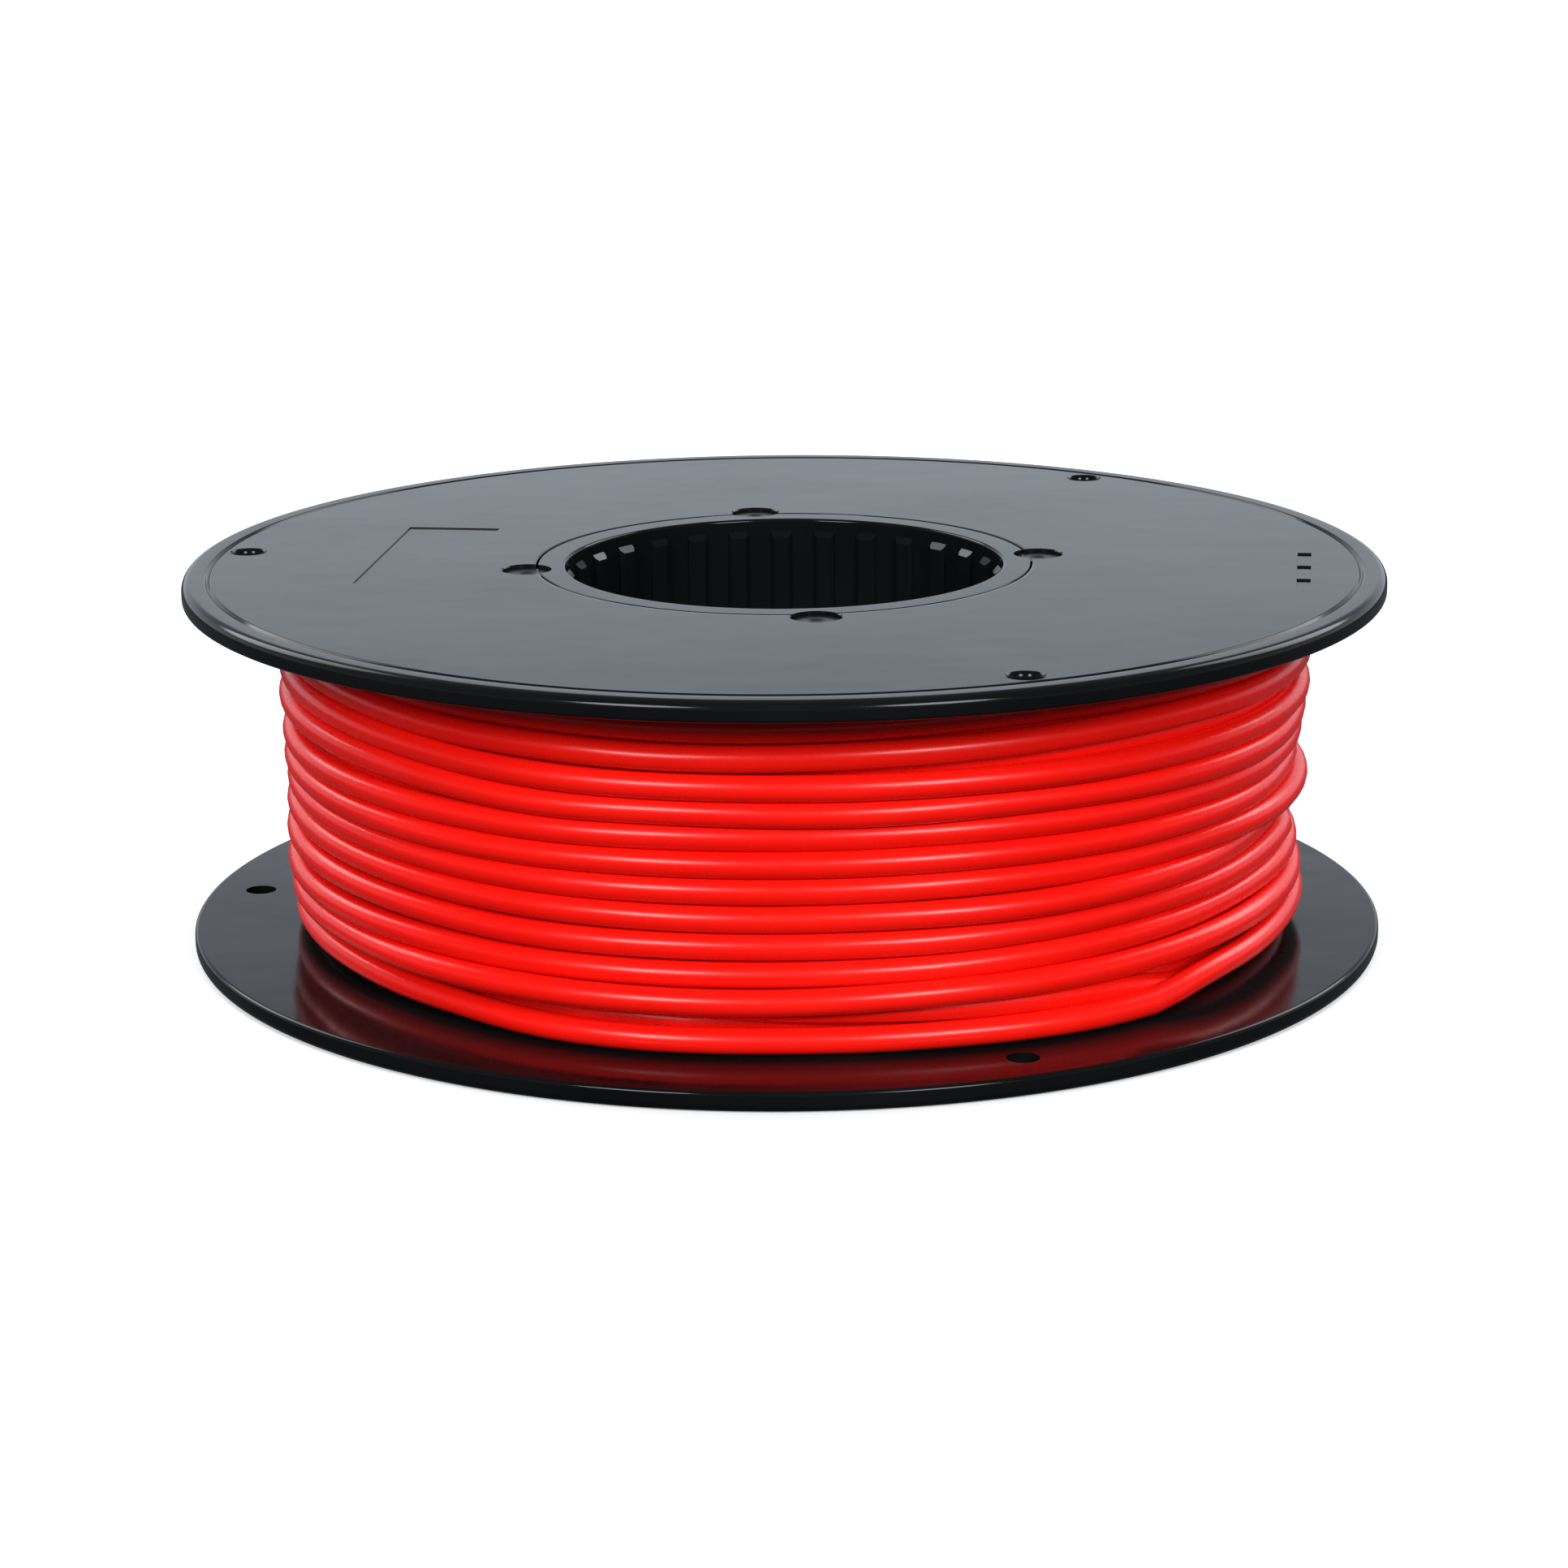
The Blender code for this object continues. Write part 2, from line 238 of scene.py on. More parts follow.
# ---------------------------------------------------------------- the camera, the floor and the light
CAMERA_DISTANCE = 7.40 * FLANGE_RADIUS
CAMERA_ELEVATION = 14.15
CAMERA_LENS = 100.6
CAMERA_SENSOR = 36.0
CAMERA_NEAR = 0.01
CAMERA_ROLL = -0.41
CAMERA_SHIFT = (-0.0009, -0.0254)
FLOOR_HALF = 6.0
FLOOR_DROP = 0.0002

# The front pair of suns and the back pair stand this far to each side of the middle, in degrees
KEY_LIGHT_ASIDE = 29.5
BACK_LIGHT_ASIDE = 48.0

# The studio's brightness by height: 0 is straight down, 0.5 is the horizon and 1 is straight up
STUDIO_LEVELS = ((0.49, 0.10), (0.50, 0.92), (0.62, 0.84), (0.66, 0.45), (0.80, 0.20), (1.0, 0.24))
STUDIO_TINT = (0.92, 1.0, 1.12, 1.0)


def smooth_step(t):
    """Eases from 0 to 1 as t goes there, and stays level outside."""
    t = np.clip(t, 0.0, 1.0)
    return t * t * (3 - 2 * t)


def polar(angle, radius, height=0.0):
    """The point at an azimuth in degrees, a radius and a height about the spool's axis."""
    theta = math.radians(angle)
    return Vector((radius * math.cos(theta), radius * math.sin(theta), height))


# ================================================================ camera
def make_camera():
    """The photograph's view, on to the middle of the spool."""
    data = bpy.data.cameras.new("camera")
    data.lens = CAMERA_LENS
    data.sensor_width = CAMERA_SENSOR
    data.shift_x, data.shift_y = CAMERA_SHIFT
    data.clip_start = CAMERA_NEAR
    camera = bpy.data.objects.new("camera", data)
    centre = Vector((0.0, 0.0, SPOOL_HEIGHT / 2))
    elevation = math.radians(CAMERA_ELEVATION)
    back = Vector((0.0, -math.cos(elevation), math.sin(elevation)))
    tilt = Matrix.Rotation(math.pi / 2 - elevation, 4, "X")
    roll = Matrix.Rotation(math.radians(CAMERA_ROLL), 4, "Z")
    camera.matrix_world = Matrix.Translation(centre + CAMERA_DISTANCE * back) @ tilt @ roll
    bpy.context.scene.collection.objects.link(camera)
    bpy.context.scene.camera = camera


# ================================================================ wire
def smooth_noise(count, spacing, rng):
    """Random numbers from -1 to 1, spacing points apart, joined by smooth curves."""
    knots = rng.uniform(-1.0, 1.0, count // spacing + 3)
    at = np.arange(count) / spacing
    whole = at.astype(int)
    blend = smooth_step(at - whole)
    return knots[whole] * (1 - blend) + knots[whole + 1] * blend


def rows_beneath():
    """Each row's height in the layers beneath the last, and where in its turn it steps over to the next."""
    pitch = (HIGH - LOW) / ROW_GAPS
    rows, steps = [], []
    for layer in range(LAYERS_BENEATH):
        last = layer == LAYERS_BENEATH - 1
        inset = (layer + 1) % 2
        heights = [LOW + pitch * (inset / 2 + number) for number in range(ROW_GAPS + 1 - inset)]
        if (LAYERS_BENEATH - layer) % 2 == 1:
            heights.reverse()
        if last:
            heights.pop()
        rows += heights
        step = STEP_OVER if last else STEP_OVER_FIRST + (STEP_OVER_SPREAD * layer) % STEP_OVER_RANGE
        steps += [step] * len(heights)
    return np.array(rows), np.array(steps)


def heights_beneath(rng):
    """The wire's height along every layer but the last."""
    rows, steps = rows_beneath()
    count = len(rows) * TURN_POINTS
    rows = np.append(rows, ROWS[0][0] * MM)
    at = np.arange(count) / TURN_POINTS
    whole = at.astype(int)
    part = smooth_step((at - whole - steps[whole]) / STEP_OVER_WIDTH + 0.5)
    heights = rows[whole] * (1 - part) + rows[whole + 1] * part
    azimuth = (at - whole) * 360.0 - 180.0
    away = np.abs((azimuth - HOLLOW_AZIMUTH + 180.0) % 360.0 - 180.0)
    share = 1.0 - smooth_step((away - HOLLOW_HALF_WIDTH) / HOLLOW_EDGE)
    last_layer = at >= len(rows) - 1 - ROW_GAPS
    below = heights < HOLLOW_HEIGHT
    heights = heights - WIRE_DIAMETER * share * (last_layer & below)
    return heights + WANDER * smooth_noise(count, WANDER_POINTS, rng)


def through_knots(x, y, at):
    """A smooth curve through knots that doesn't swing past them."""
    step = np.diff(x)
    slope = np.diff(y) / step
    heading = np.zeros(len(x))
    before, after = slope[:-1], slope[1:]
    total = np.where(before * after > 0, before + after, 1.0)
    heading[1:-1] = np.where(before * after > 0, 2 * before * after / total, 0.0)
    i = np.clip(np.searchsorted(x, at, side="right") - 1, 0, len(x) - 2)
    t = (at - x[i]) / step[i]
    bend = t * (1 - t) * step[i] * ((1 - t) * heading[i] - t * heading[i + 1])
    blend = t * t * (3 - 2 * t)
    return y[i] * (1 - blend) + y[i + 1] * blend + bend


def heights_of_last_layer():
    """The wire's height along the last layer, through the rows' heights at the stations."""
    at = [number + (station + 180.0) / 360.0 for number in range(len(ROWS)) for station in STATIONS]
    heights = [height * MM for row in ROWS for height in row]
    final_row = len(heights) - len(STATIONS)
    at.insert(final_row, len(ROWS) - 2 + (LANDING + 180.0) / 360.0)
    heights.insert(final_row, heights[final_row])
    turns = np.arange(len(ROWS) * TURN_POINTS) / TURN_POINTS
    return through_knots(np.array(at), np.array(heights), np.clip(turns, at[0], at[-1]))


def eased(values, rounds):
    """The values evened out along the wire."""
    line = values.copy()
    for _ in range(rounds):
        line[1:-1] = 0.25 * line[:-2] + 0.5 * line[1:-1] + 0.25 * line[2:]
    return line


def lowest_radius(height, radius, start, end):
    """The least radius at which each point from start to end clears the turns laid before it."""
    index = np.arange(start, end)
    back = index[None, :] - TURN_POINTS * np.arange(1, end // TURN_POINTS + 2)[:, None]
    laid = back >= 0
    back = np.where(laid, back, 0)
    apart = np.abs(height[back] - height[index][None, :])
    rise = np.sqrt(np.maximum(WIRE_DIAMETER**2 - apart**2, 0.0))
    reach = np.where(laid & (apart < WIRE_DIAMETER), radius[back] + rise, CORE)
    return np.maximum(reach.max(axis=0), CORE)


def lay_wire(height):
    """Lay the turns one after another, each pulled tight over what is below it."""
    total = len(height)
    radius = np.full(total, CORE)
    for first in range(0, total, TURN_POINTS):
        last = min(first + TURN_POINTS + TURN_POINTS // 2, total)
        for start in range(first, last, TURN_POINTS):
            end = min(start + TURN_POINTS, last)
            radius[start:end] = lowest_radius(height, radius, start, end)
        kept = radius[max(first - 2, 0) : first].copy()
        line = np.concatenate([kept, radius[first:last], radius[last - 1 : last]])
        least = line.copy()
        sag = line.mean() * (2 * math.pi / TURN_POINTS) ** 2 / 2
        for _ in range(LAY_ROUNDS):
            line[1:-1] = np.maximum(least[1:-1], 0.5 * (line[:-2] + line[2:]) - sag)
            line[: len(kept)] = kept
        radius[first:last] = line[len(kept) : -1]
    return radius


def settle(height, radius):
    """Let the outer turns press on each other: tension draws them in, contact keeps them apart."""
    goal = height.reshape(-1, TURN_POINTS)
    height = goal.copy()
    radius = radius.reshape(-1, TURN_POINTS).copy()
    first = len(height) - SETTLING_TURNS
    ground = first - SETTLING_TURNS
    sag = SETTLING_TENSION * radius.mean() * (2 * math.pi / TURN_POINTS) ** 2 / 2
    for _ in range(SETTLING_ROUNDS):
        for field, draw in ((height, 0.0), (radius, sag)):
            line = field.ravel()
            middle = line.copy()
            middle[1:-1] = 0.5 * (line[:-2] + line[2:]) - draw
            field[first:] = (0.5 * (line + middle)).reshape(field.shape)[first:]
        height[first:] += SETTLING_PULL * (goal[first:] - height[first:])
        up = height[ground:, None, :] - height[None, ground:, :]
        out = radius[ground:, None, :] - radius[None, ground:, :]
        apart = np.maximum(np.hypot(up, out), LEAST_APART)
        overlap = np.maximum(WIRE_DIAMETER - apart, 0.0)
        overlap[np.arange(len(overlap)), np.arange(len(overlap))] = 0.0
        share = SETTLING_PUSH / np.sqrt(np.maximum((overlap > 0).sum(axis=1), 1))
        height[first:] += (share * (overlap * up / apart).sum(axis=1))[first - ground :]
        radius[first:] += (share * (overlap * out / apart).sum(axis=1))[first - ground :]
        np.clip(height, LOW, HIGH, out=height)
        np.maximum(radius, CORE, out=radius)
        radius[first:] -= 0.5 * np.maximum(radius[first:] - OUTER_LIMIT, 0.0)
    return height.ravel(), radius.ravel()


def smooth_points(points, steps):
    """Points on a smooth curve through the given ones."""
    ends = [2 * points[0] - points[1], *points, 2 * points[-1] - points[-2]]
    result = []
    for before, start, end, after in zip(ends, ends[1:], ends[2:], ends[3:]):
        for step in range(steps):
            t = step / steps
            bend = (2 * before - 5 * start + 4 * end - after) * t**2
            twist = (3 * start - before - 3 * end + after) * t**3
            result.append(0.5 * (2 * start + (end - before) * t + bend + twist))
    return [*result, points[-1]]


def end_hole_angles():
    """The azimuths of the wire-end holes."""
    return [INDEX_ANGLE - 360.0 * number / END_HOLES for number in range(END_HOLES)]


def wire_path():
    """The whole wire's centreline, from its inner end on the barrel to its end in the lower flange."""
    rng = np.random.default_rng(SEED)
    height = np.concatenate([heights_beneath(rng), heights_of_last_layer()])
    height = np.clip(eased(height, EASING_ROUNDS), LOW, HIGH)
    height, radius = settle(height, lay_wire(height))
    count = len(height) - TURN_POINTS + round((LAST_TURN_END + 180.0) / 360.0 * TURN_POINTS)
    fine_from = len(height) - SETTLING_TURNS * TURN_POINTS
    keep = [i for i in range(count) if i >= fine_from or i % HIDDEN_STRIDE == 0]
    angle = np.arange(len(height)) * 360.0 / TURN_POINTS - 180.0
    wound = [polar(angle[i], radius[i], height[i]) for i in keep]
    hole = end_hole_angles()[1]
    end = [polar(hole - before, out, up) for before, out, up in END_ROUTE]
    return wound[:-1] + smooth_points([wound[-1], *end], END_ROUTE_STEPS)


def lengths_along(path):
    """The length of wire from the path's start to each of its points."""
    return np.cumsum([0.0] + [(b - a).length for a, b in zip(path, path[1:])])


def tube_rings(points, radius, sides):
    """A ring of points round each point of a line that runs round the spool's axis."""
    line = np.array(points)
    along = np.gradient(line, axis=0)
    along /= np.linalg.norm(along, axis=1)[:, None]
    outward = line * (1.0, 1.0, 0.0)
    outward /= np.linalg.norm(outward, axis=1)[:, None]
    outward -= (outward * along).sum(axis=1)[:, None] * along
    outward /= np.linalg.norm(outward, axis=1)[:, None]
    across = np.cross(along, outward)
    turn = np.arange(sides) * 2 * math.pi / sides
    spread = np.cos(turn)[None, :, None] * outward[:, None] + np.sin(turn)[None, :, None] * across[:, None]
    return line[:, None] + radius * spread


def grid_faces(rings, sides, closed=False):
    """Quads between neighbouring rings of points."""
    ring = np.arange(rings if closed else rings - 1)
    side = np.arange(sides)
    after = (ring + 1) % rings
    turned = (side + 1) % sides
    a = (ring[:, None] * sides + side[None, :]).ravel()
    b = (ring[:, None] * sides + turned[None, :]).ravel()
    c = (after[:, None] * sides + turned[None, :]).ravel()
    d = (after[:, None] * sides + side[None, :]).ravel()
    return np.stack([a, b, c, d], axis=1)


def tube_faces(rings, sides, first=0):
    """The quads and the two caps of a tube whose points start at number first."""
    faces = [tuple(face) for face in grid_faces(rings, sides) + first]
    last = first + (rings - 1) * sides
    faces.append(tuple(reversed(range(first, first + sides))))
    faces.append(tuple(range(last, last + sides)))
    return faces


def mesh_object(name, verts, faces, material):
    """A smooth-shaded object in the scene, from points and faces."""
    mesh = bpy.data.meshes.new(name)
    mesh.from_pydata([tuple(v) for v in verts], [], [tuple(f) for f in faces])
    mesh.validate()
    mesh.shade_smooth()
    mesh.materials.append(material)
    item = bpy.data.objects.new(name, mesh)
    bpy.context.scene.collection.objects.link(item)
    return item


def make_wire(material):
    """The insulation of the whole wire in one tube, with the conductor's bore open at its outer end."""
    path = wire_path()
    rings = tube_rings(path, WIRE_DIAMETER / 2, WIRE_SIDES)
    bore = tube_rings(path[-BORED_POINTS:], CONDUCTOR_DIAMETER / 2 + GAP, WIRE_SIDES)[::-1]
    verts = np.concatenate([rings, bore]).reshape(-1, 3)
    faces = tube_faces(len(path) + BORED_POINTS, WIRE_SIDES)
    wire = mesh_object("wire", verts, faces, material)
    add_length_map(wire.data, path)
    wire.data.set_sharp_from_angle(angle=math.radians(WIRE_SHARP))
    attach(wire, "root")
    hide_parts("wire_winding", "wire_end_insulation")
    return wire, path


def make_conductor(path, material):
    """The copper strands inside the wire's outer end: one in the middle and two twisted layers round it."""
    line = path[-STRANDED_POINTS:]
    strand = CONDUCTOR_DIAMETER / (2 * len(STRAND_LAYERS) - 1)
    frames = tube_rings(line, 1.0, 4)
    outward = frames[:, 0] - np.array(line)
    across = frames[:, 1] - np.array(line)
    along = lengths_along(line)
    verts, faces = [], []
    for layer, count in enumerate(STRAND_LAYERS):
        for number in range(count):
            turn = 2 * math.pi * (number / count + along / STRAND_LAY)
            shift = np.cos(turn)[:, None] * outward + np.sin(turn)[:, None] * across
            centres = np.array(line) + layer * strand * shift
            faces += tube_faces(len(line), STRAND_SIDES, first=len(verts) * STRAND_SIDES)
            verts += list(tube_rings(centres, strand / 2 * STRAND_FILL, STRAND_SIDES))
    conductor = mesh_object("conductor", np.concatenate(verts), faces, material)
    conductor.data.set_sharp_from_angle(angle=math.radians(WIRE_SHARP))
    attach(conductor, "root")
    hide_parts("wire_end_conductor")
    return conductor


def add_length_map(mesh, path):
    """A UV map for marks that follow the wire: metres along it, and the share of its girth."""
    along = lengths_along(path)
    layer = mesh.uv_layers.new(name="length")
    loops = np.zeros(len(mesh.loops), np.int32)
    mesh.loops.foreach_get("vertex_index", loops)
    ring = loops // WIRE_SIDES
    side = loops % WIRE_SIDES
    uv = np.stack([along[np.minimum(ring, len(along) - 1)], side / WIRE_SIDES], axis=1)
    layer.data.foreach_set("uv", uv.ravel())


# ================================================================ moulded parts
def arc(centre_x, centre_z, radius, start, end, steps):
    """Profile points on an arc from one angle to another, in degrees."""
    angles = [math.radians(start + (end - start) * step / steps) for step in range(steps + 1)]
    return [(centre_x + radius * math.cos(a), centre_z + radius * math.sin(a)) for a in angles]


def mesh_from(shape, name):
    """A mesh from a bmesh shape, which is freed."""
    mesh = bpy.data.meshes.new(name)
    shape.to_mesh(mesh)
    shape.free()
    return mesh


def turned_mesh(name, profile, steps):
    """A closed profile of (radius, height) points turned round the Z axis."""
    radii, heights = np.array(profile).T
    turn = np.arange(steps) * 2 * math.pi / steps
    x = np.outer(np.cos(turn), radii)
    y = np.outer(np.sin(turn), radii)
    z = np.tile(heights, (steps, 1))
    rings = np.stack([x, y, z], axis=2)
    mesh = bpy.data.meshes.new(name)
    faces = grid_faces(steps, len(profile), closed=True)
    mesh.from_pydata(rings.reshape(-1, 3).tolist(), [], faces.tolist())
    shape = bmesh.new()
    shape.from_mesh(mesh)
    bmesh.ops.remove_doubles(shape, verts=shape.verts, dist=SAME_POINT)
    bmesh.ops.recalc_face_normals(shape, faces=shape.faces)
    shape.to_mesh(mesh)
    shape.free()
    return mesh


def joined(name, pieces):
    """One mesh from (mesh, matrix) pairs."""
    shape = bmesh.new()
    for mesh, matrix in pieces:
        before = len(shape.verts)
        shape.from_mesh(mesh)
        shape.verts.ensure_lookup_table()
        bmesh.ops.transform(shape, matrix=matrix, verts=shape.verts[before:])
    bmesh.ops.recalc_face_normals(shape, faces=shape.faces)
    return mesh_from(shape, name)


def combined(mesh, steps):
    """The mesh after a row of (operation, other mesh) steps, without the slivers that they leave."""
    body = bpy.data.objects.new("body", mesh)
    bpy.context.scene.collection.objects.link(body)
    others = []
    for operation, other in steps:
        tool = bpy.data.objects.new("tool", other)
        bpy.context.scene.collection.objects.link(tool)
        modifier = body.modifiers.new(operation, "BOOLEAN")
        modifier.operation = operation
        modifier.object = tool
        modifier.solver = "MANIFOLD"
        others.append(tool)
    bpy.context.view_layer.update()
    result = bpy.data.meshes.new_from_object(body.evaluated_get(bpy.context.evaluated_depsgraph_get()))
    for item in [body, *others]:
        bpy.data.objects.remove(item, do_unlink=True)
    shape = bmesh.new()
    shape.from_mesh(result)
    bmesh.ops.remove_doubles(shape, verts=shape.verts, dist=SAME_POINT)
    bmesh.ops.dissolve_degenerate(shape, edges=shape.edges, dist=SAME_POINT)
    shape.to_mesh(result)
    shape.free()
    return result


def finished_piece(name, mesh, material):
    """A moulded piece that takes the place of the CAD node of the same name."""
    mesh.name = name
    mesh.materials.clear()
    mesh.materials.append(material)
    mesh.shade_smooth()
    mesh.set_sharp_from_angle(angle=math.radians(MOULDED_SHARP))
    item = bpy.data.objects.new(f"{name}_moulded", mesh)
    bpy.context.scene.collection.objects.link(item)
    weighted = item.modifiers.new("even faces", "WEIGHTED_NORMAL")
    weighted.keep_sharp = True
    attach(item, "root")
    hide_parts(name)


def facing_matrix(angle, radius, outer_height, facing):
    """Puts something made for an outer face at height 0 onto a flange facing up (1) or down (-1)."""
    turn = Matrix.Rotation(math.radians(angle), 4, "Z")
    flip = Matrix.Diagonal((1.0, facing, facing, 1.0))
    return Matrix.Translation(polar(angle, radius, outer_height)) @ turn @ flip


def flange_profile():
    """A flange's section, outer face up at height 0."""
    inner = COLLAR_RADIUS + GAP
    bottom = -FLANGE_THICKNESS
    middle = EDGE_MIDDLE * EDGE_ROUND
    points = [(inner, bottom), (inner, -EDGE_ROUND), (inner + middle, -middle)]
    points += [(inner + EDGE_ROUND, 0.0), (inner + EDGE_FLAT_RING * EDGE_ROUND, 0.0)]
    half = RIM_GROOVE_WIDTH / 2
    for share in np.linspace(-1.0, 1.0, GROOVE_POINTS):
        dip = 0.5 + 0.5 * math.cos(math.pi * share)
        points.append((RIM_GROOVE_RADIUS + half * share, -RIM_GROOVE_DEPTH * dip))
    points += arc(FLANGE_RADIUS - RIM_TOP_ROUND, -RIM_TOP_ROUND, RIM_TOP_ROUND, 90.0, 0.0, RIM_TOP_STEPS)
    inside = FLANGE_RADIUS - RIM_INNER_ROUND
    points += arc(inside, bottom + RIM_INNER_ROUND, RIM_INNER_ROUND, 0.0, -90.0, RIM_INNER_STEPS)
    return points


def end_hole_cutter():
    """A through hole whose outer end widens in a rounded lead-in that starts just above the face."""
    mouth = END_HOLE_RADIUS + 2 * END_HOLE_LEAD_IN
    profile = [(0.0, END_HOLE_LEAD_IN), (mouth, END_HOLE_LEAD_IN)]
    for turn in np.linspace(0.0, 90.0, LEAD_IN_POINTS):
        sweep = math.radians(turn)
        reach = END_HOLE_LEAD_IN * (1 - math.sin(sweep))
        drop = END_HOLE_LEAD_IN * (2 * (1 - math.cos(sweep)) - MOUTH_LIFT)
        profile.append((END_HOLE_RADIUS + reach, -drop))
    profile += [(END_HOLE_RADIUS, -2 * FLANGE_THICKNESS), (0.0, -2 * FLANGE_THICKNESS)]
    return turned_mesh("end hole", profile, END_HOLE_STEPS)


def seat_cutter(radius, depth, mouth):
    """A round seat with a small chamfer at its mouth."""
    profile = [(0.0, mouth), (radius + 2 * mouth, mouth), (radius, -mouth), (radius, -depth), (0.0, -depth)]
    return turned_mesh("seat", profile, KEY_STEPS)


def sunk_block(length, width, depth):
    """A shallow pocket's shape, wider at the top by the mould's draft."""
    shape = bmesh.new()
    bmesh.ops.create_cube(shape, size=1.0)
    for vert in shape.verts:
        wider = POCKET_DRAFT * depth if vert.co.z > 0 else 0.0
        vert.co.x *= width + wider
        vert.co.y *= length + wider
        vert.co.z = depth if vert.co.z > 0 else -depth
    return mesh_from(shape, "pocket")


def key_angles():
    """The azimuths of the keys and of the hub's columns."""
    return [FIRST_KEY_ANGLE + 360.0 * number / KEYS for number in range(KEYS)]


def make_flange(name, outer_height, facing, material):
    """A flange with its outer face at a height, facing up (1) or down (-1)."""

    def place(angle, radius):
        return facing_matrix(angle, radius, outer_height, facing)

    disc = turned_mesh(name, flange_profile(), FLANGE_STEPS)
    disc.transform(place(0.0, 0.0))
    hole = end_hole_cutter()
    cuts = [(hole, place(angle, END_HOLE_CIRCLE_RADIUS)) for angle in end_hole_angles()]
    seat = seat_cutter(KEY_RADIUS + GAP, 2 * FLANGE_THICKNESS, EDGE_ROUND)
    cuts += [(seat, place(angle, KEY_CIRCLE_RADIUS)) for angle in key_angles()]
    panel = sunk_block(PANEL_LENGTH, PANEL_WIDTH, PANEL_DEPTH)
    cuts.append((panel, place(INDEX_ANGLE, PANEL_CIRCLE_RADIUS)))
    tick = sunk_block(TICK_LENGTH, TICK_WIDTH, TICK_DEPTH)
    for number in range(TICK_BARS):
        aside = polar(INDEX_ANGLE - 90.0, (number - (TICK_BARS - 1) / 2) * TICK_PITCH)
        cuts.append((tick, Matrix.Translation(aside) @ place(INDEX_ANGLE - 180.0, TICK_CIRCLE_RADIUS)))
    mesh = combined(disc, [("DIFFERENCE", joined("cuts", cuts))])
    finished_piece(name, mesh, material)


def sleeve_profile():
    """The bore sleeve with a collar at each end, its mouths and edges rounded."""
    outside = BORE_RADIUS + SLEEVE_WALL
    inner, outer = BORE_RADIUS + MOUTH_ROUND, COLLAR_RADIUS - EDGE_ROUND
    points = []
    for end, sign in ((SPOOL_HEIGHT, 1), (0.0, -1)):
        mouth = arc(inner, end - sign * MOUTH_ROUND, MOUTH_ROUND, 180.0, 180.0 - sign * 90.0, MOUTH_STEPS)
        edge = arc(outer, end - sign * EDGE_ROUND, EDGE_ROUND, sign * 90.0, 0.0, EDGE_STEPS)
        shoulder = end - sign * FLANGE_THICKNESS
        half = [*mouth, *edge, (COLLAR_RADIUS, shoulder), (outside, shoulder)]
        points += half if sign > 0 else half[::-1]
    return points


def barrel_profile():
    """The barrel that the wire is wound on, between the flanges."""
    inside = BARREL_RADIUS - BARREL_WALL
    top = SPOOL_HEIGHT - FLANGE_THICKNESS - GAP
    bottom = FLANGE_THICKNESS + GAP
    return [(inside, top), (BARREL_RADIUS, top), (BARREL_RADIUS, bottom), (inside, bottom)]


def bore_rib():
    """One bore rib: a bar with bevelled long edges and both ends sloped."""
    low, high = RIB_SETBACK, SPOOL_HEIGHT - RIB_SETBACK
    wall, face = BORE_RADIUS + RIB_BURY, BORE_RADIUS - RIB_DEPTH
    half = RIB_WIDTH / 2
    section = [(wall, -half), (BORE_RADIUS - 0.5 * RIB_DEPTH, -half), (face, -half + 0.5 * RIB_DEPTH)]
    section += [(x, -y) for x, y in reversed(section)]
    shape = bmesh.new()
    ends = []
    for base, sign in ((low, 1), (high, -1)):
        ends.append([shape.verts.new((x, y, base + sign * (wall - x))) for x, y in section])
    for i in range(len(section)):
        j = (i + 1) % len(section)
        shape.faces.new((ends[0][i], ends[0][j], ends[1][j], ends[1][i]))
    shape.faces.new(ends[0][::-1])
    shape.faces.new(ends[1])
    bmesh.ops.recalc_face_normals(shape, faces=shape.faces)
    return mesh_from(shape, "rib")


def rods(radius, low, high):
    """A round rod on each key's axis, as (mesh, matrix) pairs."""
    length = high - low
    rod = turned_mesh("rod", [(0.0, 0.0), (radius, 0.0), (radius, length), (0.0, length)], KEY_STEPS)
    return [(rod, Matrix.Translation(polar(angle, KEY_CIRCLE_RADIUS, low))) for angle in key_angles()]


def make_hub(material):
    """The bore sleeve, winding barrel, key columns and bore ribs, moulded in one piece."""
    low = FLANGE_THICKNESS + GAP + EDGE_ROUND
    columns = joined("columns", rods(COLUMN_RADIUS, low, SPOOL_HEIGHT - low))
    seats = joined("seats", rods(KEY_RADIUS + GAP, -low, SPOOL_HEIGHT + low))
    barrel = turned_mesh("barrel", barrel_profile(), HUB_STEPS)
    rib_angles = [FIRST_KEY_ANGLE + 360.0 * number / BORE_RIBS for number in range(BORE_RIBS)]
    rib = bore_rib()
    ribs = joined("ribs", [(rib, Matrix.Rotation(math.radians(a), 4, "Z")) for a in rib_angles])
    sleeve = turned_mesh("hub", sleeve_profile(), HUB_STEPS)
    steps = [("UNION", barrel), ("UNION", columns), ("DIFFERENCE", seats), ("UNION", ribs)]
    finished_piece("hub", combined(sleeve, steps), material)


def make_keys(material):
    """Eight round keys with rounded ends and a shallow dimple where they were gated."""
    half = KEY_LENGTH / 2
    profile = [(out * KEY_RADIUS, half - deep * KEY_DIMPLE) for out, deep in DIMPLE_SECTION]
    profile += arc(KEY_RADIUS - EDGE_ROUND, half - EDGE_ROUND, EDGE_ROUND, 90.0, 0.0, EDGE_STEPS)
    profile += [(x, -z) for x, z in reversed(profile)]
    for end, height in (("upper", SPOOL_HEIGHT - KEY_SINK - half), ("lower", KEY_SINK + half)):
        for number, angle in enumerate(key_angles(), start=1):
            mesh = turned_mesh("key", profile, KEY_STEPS)
            mesh.transform(Matrix.Translation(polar(angle, KEY_CIRCLE_RADIUS, height)))
            finished_piece(f"{end}_key_{number}", mesh, material)


